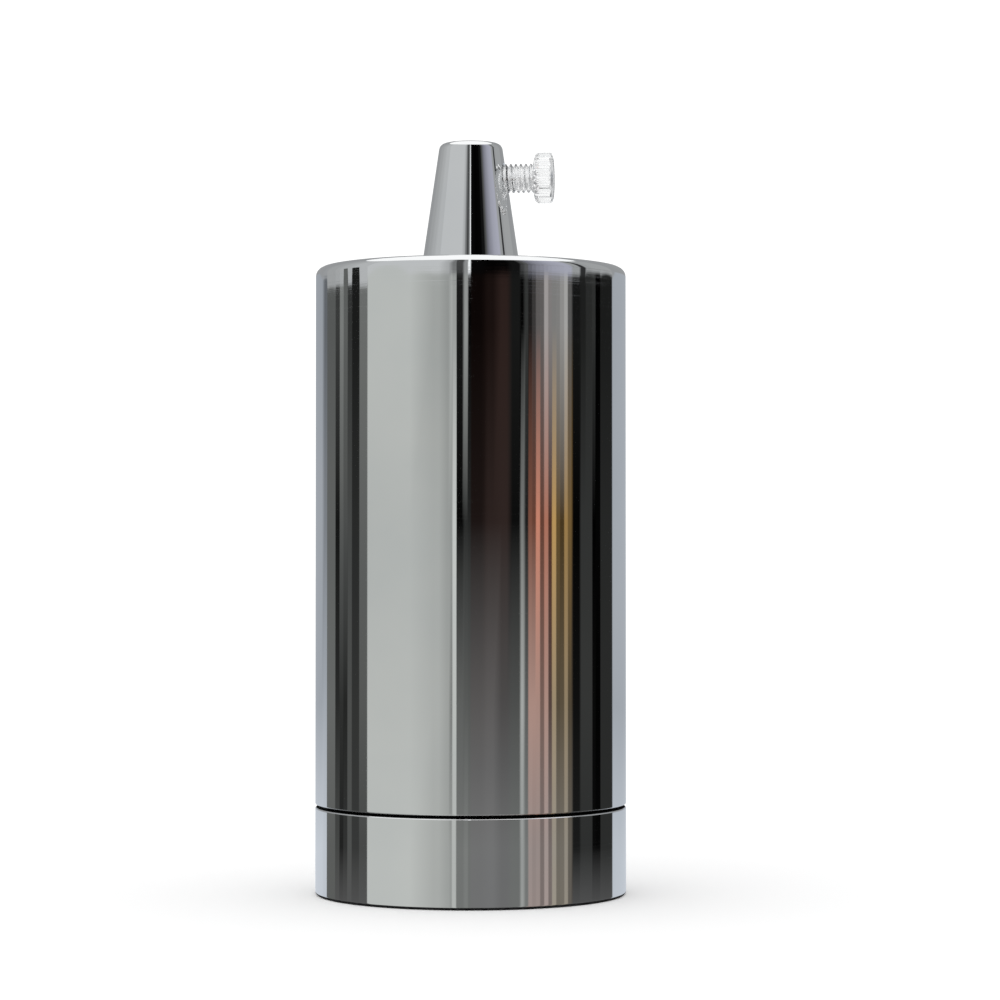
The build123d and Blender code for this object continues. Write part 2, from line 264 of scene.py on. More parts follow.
def hide_from(obj: bpy.types.Object, *rays: str) -> None:
    """Hides an object from kinds of ray, each named as in its visible_ property."""
    for kind in rays:
        setattr(obj, f"visible_{kind}", False)


def smooth_step(value: np.ndarray, low: float, high: float) -> np.ndarray:
    """Rises from 0 at low to 1 at high as 3t² − 2t³."""
    t = np.clip((value - low) / (high - low), 0, 1)
    return t * t * (3 - 2 * t)


@dataclass(frozen=True)
class Thread:
    """A right-hand screw thread between two heights.

    The groove's depth at height z and angle a depends on the share of a pitch by which z is above the
    helix, z / pitch − a / turn, and it fades out over run_out pitches at each end.
    """

    low: float
    high: float
    pitch: float
    depth: float
    crest: float = 0.14
    run_out: float = 0.8

    def groove(self, z: np.ndarray, a: np.ndarray) -> np.ndarray:
        """Depth of the groove at each point: 0 on the crest and the full depth at the root.

        Args:
            z: heights.
            a: angles in radians.

        Returns:
            The depth at each point.
        """
        phase = np.mod(z / self.pitch - a / FULL_TURN, 1.0)
        slope = smooth_step(1 - np.abs(2 * phase - 1), self.crest, 1 - self.crest)
        return self.depth * slope * self.fade(z)

    def wave(self, z: np.ndarray, a: np.ndarray) -> np.ndarray:
        """Depth of a rolled, round thread: depth · (1 − cos of the helix angle) / 2, faded at its ends."""
        angle = FULL_TURN * (z / self.pitch - a / FULL_TURN)
        return self.depth * (1 - np.cos(angle)) / 2 * self.fade(z)

    def fade(self, z: np.ndarray) -> np.ndarray:
        """The share of the depth that is left near the ends of the thread."""
        span = self.run_out * self.pitch
        return smooth_step(z, self.low, self.low + span) * (1 - smooth_step(z, self.high - span, self.high))

    def cut_into_bore(self, bore: float, r: np.ndarray, z: np.ndarray, a: np.ndarray) -> np.ndarray:
        """Moves the points that lie on a bore outwards by the groove's depth.

        Args:
            bore: the bore's radius.
            r: radii.
            z: heights.
            a: angles in radians.

        Returns:
            The new radii.
        """
        return np.where(np.abs(r - bore) < GUARD / 3, r + self.groove(z, a), r)

    def rows(self, per_pitch: int) -> int:
        """How many rows of points a stretch of this thread needs."""
        return int(round((self.high - self.low) / self.pitch * per_pitch))


# ---------------------------------------------------------------------------
# Finishes
# ---------------------------------------------------------------------------


@dataclass
class Board:
    """A node material being wired."""

    name: str
    material: bpy.types.Material = field(init=False)
    shader: bpy.types.Node = field(init=False)
    place: bpy.types.NodeSocket = field(init=False)

    def __post_init__(self) -> None:
        """Starts the material with its shader and its object coordinates."""
        self.material = bpy.data.materials.new(self.name)
        self.material.use_nodes = True
        self.shader = self.material.node_tree.nodes["Principled BSDF"]
        self.place = self.add("ShaderNodeTexCoord").outputs["Object"]

    def add(self, kind: str, **inputs: object) -> bpy.types.Node:
        """Adds a node.

        Args:
            kind: the node's type name.
            inputs: values or sockets for its inputs, with _ for each space in an input's name.

        Returns:
            The new node.
        """
        node = self.material.node_tree.nodes.new(kind)
        for key, value in inputs.items():
            self.put(node, key.replace("_", " "), value)
        return node

    def put(self, node: bpy.types.Node, key: str | int, value: object) -> None:
        """Sets an input to a value, or wires a socket to it.

        Args:
            node: the node.
            key: the input's name or number.
            value: a value or a socket.
        """
        if isinstance(value, bpy.types.NodeSocket):
            self.material.node_tree.links.new(value, node.inputs[key])
        else:
            node.inputs[key].default_value = value

    def shade(self, **inputs: object) -> None:
        """Sets or wires inputs of the shader, with _ for each space in an input's name."""
        for key, value in inputs.items():
            self.put(self.shader, key.replace("_", " "), value)

    def stretched(self, scale: Sequence[float]) -> bpy.types.NodeSocket:
        """Object coordinates, multiplied along each axis."""
        return self.add("ShaderNodeMapping", Vector=self.place, Scale=tuple(scale)).outputs["Vector"]

    def length(self, scale: Sequence[float]) -> bpy.types.NodeSocket:
        """Distance from the origin, with each coordinate multiplied first.

        Args:
            scale: the factors for X, Y and Z.

        Returns:
            The distance at each point.
        """
        node = self.add("ShaderNodeVectorMath")
        node.operation = "LENGTH"
        self.put(node, 0, self.stretched(scale))
        return node.outputs["Value"]

    def noise(self, scale: Sequence[float], detail: float = 3.0) -> bpy.types.NodeSocket:
        """Soft noise with that many features per metre along each axis.

        Args:
            scale: features per metre along X, Y and Z.
            detail: how many finer layers are added.

        Returns:
            The noise value, from 0 to 1.
        """
        node = self.add("ShaderNodeTexNoise", Vector=self.stretched(scale), Scale=1.0, Detail=detail)
        return node.outputs["Fac"]

    def specks(self, per_metre: float, size: float, share: float) -> bpy.types.NodeSocket:
        """Small round specks: 1 inside a speck and 0 elsewhere.

        A cell's speck is where the distance to the cell's point is under size, in the share of cells whose
        random colour is high enough.

        Args:
            per_metre: cells per metre.
            size: a speck's radius in cells.
            share: how many cells have a speck, from 0 to 1.

        Returns:
            The mask.
        """
        cells = self.add("ShaderNodeTexVoronoi", Vector=self.place, Scale=per_metre)
        near = self.ranged(cells.outputs["Distance"], size * 0.6, size, 1.0, 0.0)
        picked = self.ranged(cells.outputs["Color"], 1 - share, 1 - share + 0.01, 0.0, 1.0)
        return self.combined("MULTIPLY", near, picked)

    def ranged(
        self, value: bpy.types.NodeSocket, low: float, high: float, at_low: float, at_high: float
    ) -> bpy.types.NodeSocket:
        """Carries the range low to high over to at_low to at_high, and holds it there outside.

        Args:
            value: the value at each point.
            low: start of the range.
            high: end of the range.
            at_low: the result at low.
            at_high: the result at high.

        Returns:
            The result at each point.
        """
        node = self.add("ShaderNodeMapRange", Value=value)
        for key, number in (("From Min", low), ("From Max", high), ("To Min", at_low), ("To Max", at_high)):
            node.inputs[key].default_value = number
        return node.outputs["Result"]

    def blended(self, share: bpy.types.NodeSocket, first: object, second: object) -> bpy.types.NodeSocket:
        """Mixes two colours by share; each is a colour or a socket.

        Args:
            share: 0 gives the first colour and 1 the second.
            first: the first colour.
            second: the second colour.

        Returns:
            The mixed colour.
        """
        node = self.add("ShaderNodeMix")
        node.data_type = "RGBA"
        self.put(node, MIX_SHARE, share)
        for key, colour in ((MIX_FIRST, first), (MIX_SECOND, second)):
            self.put(node, key, colour if isinstance(colour, bpy.types.NodeSocket) else (*colour, 1.0))
        return node.outputs[MIX_RESULT]

    def larger(self, first: bpy.types.NodeSocket, second: bpy.types.NodeSocket) -> bpy.types.NodeSocket:
        """The larger of two values at each point."""
        return self.combined("MAXIMUM", first, second)

    def combined(
        self, operation: str, first: bpy.types.NodeSocket, second: bpy.types.NodeSocket
    ) -> bpy.types.NodeSocket:
        """Puts two values through one of the maths node's operations.

        Args:
            operation: the operation's name.
            first: the first value.
            second: the second value.

        Returns:
            The result at each point.
        """
        node = self.add("ShaderNodeMath")
        node.operation = operation
        self.put(node, 0, first)
        self.put(node, 1, second)
        return node.outputs["Value"]

    def relief(self, height: bpy.types.NodeSocket, depth: float, strength: float = 1.0) -> None:
        """Gives the surface a fine relief of that depth in metres, over any relief it already has.

        Args:
            height: how high each point is, from 0 to 1.
            depth: the depth in metres.
            strength: how much of it shows.
        """
        node = self.add("ShaderNodeBump", Height=height, Distance=depth, Strength=strength)
        before = self.shader.inputs["Normal"].links
        if before:
            self.put(node, "Normal", before[0].from_socket)
        self.shade(Normal=node.outputs["Normal"])

    def dress(self, obj: bpy.types.Object) -> None:
        """Puts the material in every slot of an object, or adds a slot.

        Args:
            obj: the object.
        """
        if not obj.material_slots:
            obj.data.materials.append(self.material)
        for slot in obj.material_slots:
            slot.material = self.material


@dataclass(frozen=True)
class Chrome:
    """Polished chrome plate: a bright mirror with a faint haze, turning lines, a little dust and painted
    shade in the seam.
    """

    name: str = "bright chrome"
    bright: tuple[float, float, float] = (0.88, 0.885, 0.885)
    hazed: tuple[float, float, float] = (0.82, 0.835, 0.845)
    dust: tuple[float, float, float] = (0.95, 0.95, 0.95)
    # Near-black painted shade for the seam between cup and ring.
    tarnish_and_shade: tuple[float, float, float] = (0.03, 0.03, 0.03)
    # Where the painted seam shade lies: inside this radius and between these heights.
    recess_radius: float = 0.02139
    recess_low: float = 0.0118
    recess_high: float = 0.01255
    polish: float = 0.02
    worn: float = 0.075
    haze_per_metre: float = 42.0
    haze_range: tuple[float, float] = (0.38, 0.66)
    lines_per_metre: tuple[float, float, float] = (55.0, 55.0, 7000.0)
    line_range: tuple[float, float] = (0.5, 0.78)
    line_depth: float = 8e-8
    dust_per_metre: float = 420.0
    dust_size: float = 0.075
    dust_share: float = 0.035
    waves_per_metre: tuple[float, float, float] = (30.0, 30.0, 46.0)
    wave_depth: float = 6e-6
    recess_edge: float = 2e-5

    def board(self) -> Board:
        """Wires the finish.

        Returns:
            The finished board.
        """
        board = Board(self.name)
        haze = board.ranged(board.noise([self.haze_per_metre] * 3, 4.0), *self.haze_range, 0.0, 1.0)
        lines = board.noise(self.lines_per_metre, 2.0)
        fine = board.ranged(lines, *self.line_range, self.polish, self.worn)
        dust = board.specks(self.dust_per_metre, self.dust_size, self.dust_share)
        metal = board.blended(haze, self.bright, self.hazed)
        # Painted shade: the seam between cup and ring is made near-black and rough.
        painted_seam_shade = self.painted_seam_shade(board)
        dusted = board.blended(dust, metal, self.dust)
        board.shade(
            Base_Color=board.blended(painted_seam_shade, dusted, self.tarnish_and_shade),
            Roughness=board.larger(board.larger(fine, dust), painted_seam_shade),
            Metallic=board.ranged(dust, 0.0, 1.0, 1.0, 0.0),
        )
        board.relief(board.noise(self.waves_per_metre, 1.0), self.wave_depth)
        board.relief(lines, self.line_depth)
        return board

    def painted_seam_shade(self, board: Board) -> bpy.types.NodeSocket:
        """Marks where shade is painted into the seam between cup and ring: inside a radius and between two
        heights.

        Args:
            board: the material being wired.

        Returns:
            The mask, from 0 to 1.
        """
        radius = board.length([1.0, 1.0, 0.0])
        height = board.length([0.0, 0.0, 1.0])
        step = self.recess_edge
        inside = board.ranged(radius, self.recess_radius - step, self.recess_radius, 1.0, 0.0)
        above = board.ranged(height, self.recess_low - step, self.recess_low, 0.0, 1.0)
        below = board.ranged(height, self.recess_high, self.recess_high + step, 1.0, 0.0)
        return board.combined("MULTIPLY", inside, board.combined("MULTIPLY", above, below))


@dataclass(frozen=True)
class ClearPlastic:
    """Clear moulded plastic with faint flow streaks and a soft moulded skin."""

    name: str = "clear plastic"
    tint: tuple[float, float, float] = (0.99, 0.99, 0.99)
    streak: tuple[float, float, float] = (0.955, 0.965, 0.97)
    streaks_per_metre: tuple[float, float, float] = (260.0, 900.0, 900.0)
    streak_range: tuple[float, float] = (0.3, 0.75)
    smooth: float = 0.02
    rough: float = 0.07
    index: float = 1.49
    skin_per_metre: float = 600.0
    skin_depth: float = 3e-6

    def board(self) -> Board:
        """Wires the finish.

        Returns:
            The finished board.
        """
        board = Board(self.name)
        flow = board.noise(self.streaks_per_metre)
        board.shade(
            Base_Color=board.blended(flow, self.tint, self.streak),
            Roughness=board.ranged(flow, *self.streak_range, self.smooth, self.rough),
            Transmission_Weight=1.0,
            IOR=self.index,
        )
        board.relief(board.noise([self.skin_per_metre] * 3, 1.0), self.skin_depth)
        return board


@dataclass(frozen=True)
class Porcelain:
    """Glazed porcelain: a warm white body with fine specks under an uneven clear glaze."""

    name: str = "glazed porcelain"
    body: tuple[float, float, float] = (0.83, 0.81, 0.76)
    shade: tuple[float, float, float] = (0.74, 0.71, 0.65)
    speck: tuple[float, float, float] = (0.36, 0.31, 0.25)
    clouds_per_metre: float = 90.0
    cloud_range: tuple[float, float] = (0.42, 0.72)
    specks_per_metre: float = 900.0
    speck_size: float = 0.12
    speck_share: float = 0.06
    smooth: float = 0.22
    rough: float = 0.36
    glaze: float = 0.6
    glaze_roughness: float = 0.08
    skin_per_metre: float = 700.0
    skin_depth: float = 2.5e-5
    skin_strength: float = 0.4

    def board(self) -> Board:
        """Wires the finish.

        Returns:
            The finished board.
        """
        board = Board(self.name)
        cloud = board.ranged(board.noise([self.clouds_per_metre] * 3, 5.0), *self.cloud_range, 0.0, 1.0)
        specks = board.specks(self.specks_per_metre, self.speck_size, self.speck_share)
        toned = board.blended(cloud, self.body, self.shade)
        board.shade(
            Base_Color=board.blended(specks, toned, self.speck),
            Roughness=board.ranged(cloud, 0.0, 1.0, self.smooth, self.rough),
            Coat_Weight=self.glaze,
            Coat_Roughness=self.glaze_roughness,
        )
        board.relief(board.noise([self.skin_per_metre] * 3), self.skin_depth, self.skin_strength)
        return board


@dataclass(frozen=True)
class Metal:
    """A plain metal with a grained, slightly tarnished skin."""

    name: str
    clean: tuple[float, float, float]
    # The darker, tarnished colour that the patina noise blends in; no shade is painted here.
    tarnish_and_shade: tuple[float, float, float]
    smooth: float
    rough: float
    patina_per_metre: float = 170.0
    patina_range: tuple[float, float] = (0.36, 0.7)
    grain_per_metre: float = 2600.0
    grain_depth: float = 6e-6

    def board(self) -> Board:
        """Wires the finish.

        Returns:
            The finished board.
        """
        board = Board(self.name)
        patina = board.ranged(board.noise([self.patina_per_metre] * 3, 6.0), *self.patina_range, 0.0, 1.0)
        grain = board.noise([self.grain_per_metre] * 3)
        board.shade(
            Base_Color=board.blended(patina, self.clean, self.tarnish_and_shade),
            Roughness=board.ranged(patina, 0.0, 1.0, self.smooth, self.rough),
            Metallic=1.0,
        )
        board.relief(grain, self.grain_depth)
        return board


# ---------------------------------------------------------------------------
# Sub-assemblies
# ---------------------------------------------------------------------------


def seat(piece: bpy.types.Object, body: Body, slot: Slot, finish: Board, *nodes: str) -> bpy.types.Object:
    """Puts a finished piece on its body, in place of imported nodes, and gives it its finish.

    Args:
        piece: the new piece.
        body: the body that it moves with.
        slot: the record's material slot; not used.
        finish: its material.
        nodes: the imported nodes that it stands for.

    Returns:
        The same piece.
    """
    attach(piece, body.value)
    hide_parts(*nodes)
    finish.dress(piece)
    log.info("%s: %d faces on %s", piece.name, len(piece.data.polygons), body.value)
    return piece


@dataclass
class Cup:
    """The cup: a deep drawn shell with a rounded top edge and a threaded spigot below the seam."""

    radius: float = 21.5
    height: float = 86.6
    top_rounding: float = 1.2
    inside: float = 20.0
    top_thickness: float = 2.0
    entry: float = 5.08
    seam: float = 12.4
    edge_break: float = 0.15
    spigot_inside: float = 19.0
    spigot_low: float = 4.5
    relief: float = 19.95
    crest: float = 20.5
    notch_width: float = 3.4
    notch_top: float = 6.7
    thread: Thread = Thread(low=4.7, high=11.3, pitch=1.0, depth=0.55)
    columns: int = 192

    def outline(self) -> np.ndarray:
        """The wall's outline: spigot, seam, side, top, entry hole and inside.

        Returns:
            Rows of (radius, height).
        """
        taper = self.inside - self.spigot_inside
        shoulder = self.seam + 2.5
        corners = (
            Corner(self.spigot_inside, self.spigot_low),
            Corner(self.relief, self.spigot_low),
            Corner(self.crest, self.spigot_low + 0.5, rows=self.thread.rows(14)),
            Corner(self.crest, self.thread.high - 0.2),
            Corner(self.relief, self.thread.high + 0.1),
            Corner(self.relief, self.seam),
            Corner(self.radius - self.edge_break, self.seam, 0.05),
            Corner(self.radius, self.seam + self.edge_break, 0.1),
            Corner(self.radius, self.height, self.top_rounding),
            Corner(self.entry, self.height, 0.15),
            Corner(self.entry, self.height - self.top_thickness),
            Corner(self.inside, self.height - self.top_thickness, 0.5),
            Corner(self.inside, shoulder),
            Corner(self.spigot_inside, shoulder - taper),
        )
        return rounded_outline(corners)

    def angles(self) -> np.ndarray:
        """Even columns, with extra ones beside the edges of the two notches.

        Returns:
            The columns' angles in radians.
        """
        half = self.notch_width / 2 / self.relief
        edge = np.array([half, half + 0.002])
        edges = np.concatenate([edge, -edge])
        edges = np.concatenate([math.pi / 2 + edges, 3 * math.pi / 2 + edges])
        return np.unique(np.concatenate([even_columns(self.columns), edges]))

    def warp(self, r: np.ndarray, z: np.ndarray, a: np.ndarray) -> tuple[np.ndarray, np.ndarray]:
        """Cuts the thread into the spigot and lifts its lower edge at the two notches.

        Args:
            r: radii.
            z: heights.
            a: angles.

        Returns:
            The new radii and heights.
        """
        cut = np.minimum(r, self.crest - self.thread.groove(z, a))
        r = np.where(z < self.seam - GUARD, cut, r)
        lateral = np.abs(np.mod(a, math.pi) - math.pi / 2)
        inside_notch = lateral <= self.notch_width / 2 / self.relief + 0.001
        z = np.where(inside_notch, np.maximum(z, self.notch_top), z)
        return r, z

    def build(self, chrome: Board) -> bpy.types.Object:
        """Builds and dresses the cup."""
        piece = lathe_piece("cup", self.outline(), self.angles(), self.warp)
        return seat(piece, Body.CUP, Slot.BRIGHT_CHROME, chrome, "cup_shell")


@dataclass
class RetainingRing:
    """The ring that screws on from below and carries the socket on its lip."""

    radius: float = 21.5
    foot_bevel: float = 0.3
    height: float = 12.05
    edge_break: float = 0.15
    bore: float = 20.55
    lip_bore: float = 18.5
    lip_thickness: float = 1.5
    thread: Thread = Thread(low=1.9, high=12.3, pitch=1.0, depth=0.4)
    columns: int = 192

    def outline(self) -> np.ndarray:
        """The ring's outline: lip, rounded foot, side and threaded bore.

        Returns:
            Rows of (radius, height).
        """
        corners = (
            Corner(self.lip_bore, 0.0, 0.1),
            Corner(self.radius - self.foot_bevel, 0.0, 0.15),
            Corner(self.radius, self.foot_bevel, 0.3),
            Corner(self.radius, self.height - self.edge_break, 0.1),
            Corner(self.radius - self.edge_break, self.height, 0.05),
            Corner(self.bore, self.height, 0.06, self.thread.rows(14)),
            Corner(self.bore, self.lip_thickness),
            Corner(self.lip_bore, self.lip_thickness, 0.1),
        )
        return rounded_outline(corners)

    def warp(self, r: np.ndarray, z: np.ndarray, a: np.ndarray) -> tuple[np.ndarray, np.ndarray]:
        """Cuts the thread outwards into the bore and leaves the heights alone."""
        return self.thread.cut_into_bore(self.bore, r, z, a), z

    def build(self, chrome: Board) -> bpy.types.Object:
        """Builds and dresses the ring."""
        piece = lathe_piece("ring", self.outline(), even_columns(self.columns), self.warp)
        return seat(piece, Body.RING, Slot.BRIGHT_CHROME, chrome, "retaining_ring")


@dataclass
class CordGrip:
    """The hollow cone on the cup, with its cord bore and the side hole for the thumb screw."""

    base_radius: float = 6.85
    top_radius: float = 4.3
    low: float = 86.6
    high: float = 104.0
    top_rounding: float = 0.95
    bore: float = 3.1
    bore_mouth: float = 0.4
    bore_low: float = 94.6
    nipple_bore: float = 5.05
    nipple_end: float = 93.4
    hole_height: float = 99.1
    hole_radius: float = 2.05
    hole_edge: float = 0.22
    hole_turn: float = math.radians(-7)
    block_reach: float = 3.2
    columns: int = 96
    outer_block: tuple[int, int] = (16, 40)
    inner_block: tuple[int, int] = (32, 24)
    thread: Thread = Thread(low=86.9, high=93.0, pitch=1.0, depth=0.3)

    def skin(self, z: np.ndarray) -> np.ndarray:
        """The cone's outer radius at a height: it falls evenly from the base to the top."""
        fall = (self.top_radius - self.base_radius) / (self.high - self.low)
        return self.base_radius + (z - self.low) * fall

    def block_heights(self) -> tuple[float, float]:
        """The lowest and highest height of the blocks of cells round the side hole."""
        return self.hole_height - self.block_reach, self.hole_height + self.block_reach

    def outline(self) -> np.ndarray:
        """The cone's outline, with a square corner on the skin and on the bore at each end of the hole.

        Returns:
            Rows of (radius, height).
        """
        low, high = self.block_heights()
        corners = (
            Corner(self.nipple_bore, self.low, 0.1),
            Corner(self.base_radius, self.low, 0.12, rows=10),
            Corner(float(self.skin(low)), low, 0, rows=self.outer_block[1] - 1),
            Corner(float(self.skin(high)), high, 0),
            Corner(self.top_radius, self.high, self.top_rounding),
            Corner(self.bore + self.bore_mouth, self.high, 0.12),
            Corner(self.bore, self.high - self.bore_mouth, 0.12),
            Corner(self.bore, high, 0, rows=self.inner_block[1] - 1),
            Corner(self.bore, low, 0),
            Corner(self.bore, self.bore_low, 0.1),
            Corner(self.nipple_bore, self.nipple_end, 0.1, rows=self.thread.rows(12)),
        )
        return rounded_outline(corners)

    def warp(self, r: np.ndarray, z: np.ndarray, a: np.ndarray) -> tuple[np.ndarray, np.ndarray]:
        """Cuts the nipple's thread outwards into the wide bore and leaves the heights alone."""
        return self.thread.cut_into_bore(self.nipple_bore, r, z, a), z

    def block_loop(self, block: tuple[int, int], heights: np.ndarray) -> np.ndarray:
        """Goes once round a block of cells, anticlockwise as seen from outside.

        Args:
            block: the block's columns and rows.
            heights: the heights of its rows of points, from the lowest up.

        Returns:
            Rows of (angle from the hole, height).
        """
        step = FULL_TURN / self.columns
        across = np.arange(-block[0] // 2, block[0] // 2 + 1) * step
        lowest, highest = np.full(block[0], heights[0]), np.full(block[0], heights[-1])
        left, right = np.full(block[1], across[0]), np.full(block[1], across[-1])
        return np.concatenate(
            [
                np.stack([across[:-1], lowest], axis=1),
                np.stack([right, heights[:-1]], axis=1),
                np.stack([across[:0:-1], highest], axis=1),
                np.stack([left, heights[:0:-1]], axis=1),
            ]
        )

    def hole_loops(self, outer: np.ndarray, inner: np.ndarray) -> np.ndarray:
        """Joins the block on the skin to the block on the bore by way of the hole's wall.

        From the skin's block, points move in even steps of angle and height to the hole's edge. A point of
        the hole has the lateral place q cos f and the height q sin f about the hole's axis. Its distance
        from the cone's axis is that of the skin, less the edge's drop, and then falls evenly to the bore.

        Args:
            outer: the loop round the skin's block.
            inner: the loop round the bore's block.

        Returns:
            Points as an array of rows, columns and coordinates.
        """
        count = len(outer)
        start = math.atan2(outer[0, 1] - self.hole_height, self.skin(outer[0, 1]) * outer[0, 0])
        f = start + np.arange(count) * FULL_TURN / count
        share = np.linspace(0, 1, 7)[:, None]
        edge = np.linspace(0, math.pi / 2, ARC_ROWS)
        q = self.hole_radius + self.hole_edge * (1 - np.sin(edge))
        drop = self.hole_edge * (1 - np.cos(edge))
        q = np.concatenate([[q[0] + GUARD], q, [q[-1]]])[:, None]
        drop = np.concatenate([[0.0], drop, [drop[-1] + GUARD]])[:, None]
        y, z = q * np.cos(f), self.hole_height + q * np.sin(f)
        rim = np.stack([np.sqrt(self.skin(z) ** 2 - y**2) - drop, y, z], axis=-1)
        rim_turn = np.arcsin(y[0] / self.skin(z[0]))
        outer_turn = outer[:, 0] * (1 - share) + rim_turn * share
        outer_z = outer[:, 1] * (1 - share) + z[0] * share
        outer_r = self.skin(outer_z)
        skin = np.stack([outer_r * np.cos(outer_turn), outer_r * np.sin(outer_turn), outer_z], axis=-1)
        bore_y, bore_z = y[-1], z[-1]
        mouth = np.stack([np.sqrt(self.bore**2 - bore_y**2), bore_y, bore_z], axis=-1)
        wall = rim[-1] + (mouth - rim[-1]) * share[1:, :, None]
        inner_turn = np.arcsin(bore_y / self.bore) * (1 - share) + inner[:, 0] * share
        inner_z = bore_z * (1 - share) + inner[:, 1] * share
        bore = np.stack([self.bore * np.cos(inner_turn), self.bore * np.sin(inner_turn), inner_z], axis=-1)
        return np.concatenate([skin, rim, wall, bore])

    def build(self, chrome: Board) -> bpy.types.Object:
        """Builds and dresses the cord grip.

        Args:
            chrome: its finish.

        Returns:
            The piece.
        """
        outline = self.outline()
        points = turned(outline, even_columns(self.columns, self.hole_turn), self.warp)
        low, high = self.block_heights()
        rows_low = np.flatnonzero(np.isclose(outline[:, 1], low))
        rows_high = np.flatnonzero(np.isclose(outline[:, 1], high))
        keep = np.ones(points.shape[:2], bool)
        for first, last, block in (
            (rows_low[0], rows_high[0], self.outer_block),
            (rows_high[-1], rows_low[-1], self.inner_block),
        ):
            keep[first:last, : block[0] // 2] = False
            keep[first:last, -(block[0] // 2) :] = False
        outer = self.block_loop(self.outer_block, outline[rows_low[0] : rows_high[0] + 1, 1])
        inner = self.block_loop(self.inner_block, outline[rows_high[-1] : rows_low[-1] + 1, 1][::-1])
        loops = self.hole_loops(outer, inner)
        c, s = math.cos(self.hole_turn), math.sin(self.hole_turn)
        loops = loops @ np.array([[c, s, 0], [-s, c, 0], [0, 0, 1]])
        cone = Patch(points, round_rows=True, round_columns=True, keep=keep)
        piece = make_piece("grip", [cone, Patch(loops, round_columns=True)])
        return seat(piece, Body.GRIP, Slot.BRIGHT_CHROME, chrome, "cord_grip")


@dataclass
class ThumbScrew:
    """The clear thumb screw: a threaded shank and a fluted head, moulded in one."""

    tip: float = 3.1
    shank_radius: float = 2.0
    tip_bevel: float = 0.4
    shoulder: float = 9.05
    shoulder_slope: float = 0.25
    head_radius: float = 3.5
    head_bevel: float = 0.3
    end: float = 11.55
    flutes: int = 15
    flute_radius: float = 0.5
    flute_distance: float = 3.65
    flute_softness: float = 0.07
    height: float = 99.1
    turn: float = math.radians(-7)
    thread: Thread = Thread(low=3.2, high=8.95, pitch=0.7, depth=0.38, crest=0.12)
    columns: int = 240

    def outline(self) -> np.ndarray:
        """The screw's outline from the tip to the head's outer face, along its own axis.

        Returns:
            Rows of (radius, height).
        """
        corners = (
            Corner(0.0, self.tip, 0),
            Corner(self.shank_radius - self.tip_bevel, self.tip, 0.1),
            Corner(self.shank_radius, self.tip + self.tip_bevel, 0.1, rows=self.thread.rows(15)),
            Corner(self.shank_radius, self.shoulder - self.shoulder_slope, 0.15),
            Corner(self.head_radius - self.head_bevel, self.shoulder, 0.15),
            Corner(self.head_radius, self.shoulder + self.head_bevel, 0.12, rows=3),
            Corner(self.head_radius, self.end - self.head_bevel, 0.12),
            Corner(self.head_radius - 1.6 * self.head_bevel, self.end - 0.12, 0.3, rows=2),
            Corner(0.0, self.end, 0),
        )
        return rounded_outline(corners)

    def warp(self, r: np.ndarray, z: np.ndarray, a: np.ndarray) -> tuple[np.ndarray, np.ndarray]:
        """Cuts the thread into the shank and the flutes into the head.

        In a flute, the radius at the angle d from its middle is c cos d − √(f² − c² sin² d), with f the
        flute's radius and c the distance of its axis. A soft minimum rounds the ridge between two flutes.

        Args:
            r: radii.
            z: distances along the screw.
            a: angles.

        Returns:
            The new radii, and the same distances.
        """
        pitch = FULL_TURN / self.flutes
        d = np.mod(a, pitch) - pitch / 2
        inside = self.flute_radius**2 - (self.flute_distance * np.sin(d)) ** 2
        scoop = self.flute_distance * np.cos(d) - np.sqrt(np.maximum(inside, 0))
        blend = np.clip(0.5 + 0.5 * (scoop - r) / self.flute_softness, 0, 1)
        head = scoop * (1 - blend) + r * blend - self.flute_softness * blend * (1 - blend)
        shank = np.minimum(r, self.shank_radius - self.thread.groove(z, a))
        return np.where(z < self.shoulder - self.shoulder_slope, shank, head), z

    def build(self, plastic: Board) -> bpy.types.Object:
        """Builds the screw along its own axis, lays that axis across the grip, and dresses it.

        Args:
            plastic: its finish.

        Returns:
            The piece.
        """
        local = turned(self.outline(), even_columns(self.columns), self.warp)
        along = np.array([math.cos(self.turn), math.sin(self.turn), 0.0])
        across = np.array([math.sin(self.turn), -math.cos(self.turn), 0.0])
        up = np.array([0.0, 0.0, 1.0])
        points = local @ np.stack([up, across, along]) + np.array([0.0, 0.0, self.height])
        piece = make_piece("clamp_thumb_screw", [Patch(points, round_columns=True)])
        return seat(piece, Body.CLAMP_SCREW, Slot.CLEAR_PLASTIC, plastic, "thumb_screw")


@dataclass
class Nipple:
    """The threaded tube that ties the cord grip to the cup."""

    radius: float = 5.0
    bore: float = 4.0
    low: float = 78.5
    high: float = 92.4
    end_bevel: float = 0.4
    thread: Thread = Thread(low=78.4, high=92.5, pitch=1.0, depth=0.5, run_out=0.6)
    columns: int = 120

    def outline(self) -> np.ndarray:
        """The tube's outline.

        Returns:
            Rows of (radius, height).
        """
        corners = (
            Corner(self.bore, self.low, 0.1),
            Corner(self.radius - self.end_bevel, self.low),
            Corner(self.radius, self.low + self.end_bevel, rows=self.thread.rows(14)),
            Corner(self.radius, self.high - self.end_bevel),
            Corner(self.radius - self.end_bevel, self.high),
            Corner(self.bore, self.high, 0.1),
        )
        return rounded_outline(corners)

    def warp(self, r: np.ndarray, z: np.ndarray, a: np.ndarray) -> tuple[np.ndarray, np.ndarray]:
        """Cuts the thread into the outside and leaves the heights alone."""
        return np.minimum(r, self.radius - self.thread.groove(z, a)), z

    def build(self, steel: Board) -> bpy.types.Object:
        """Builds and dresses the nipple."""
        piece = lathe_piece("nipple", self.outline(), even_columns(self.columns), self.warp)
        return seat(piece, Body.NIPPLE_STACK, Slot.PLATED_STEEL, steel, "threaded_nipple")


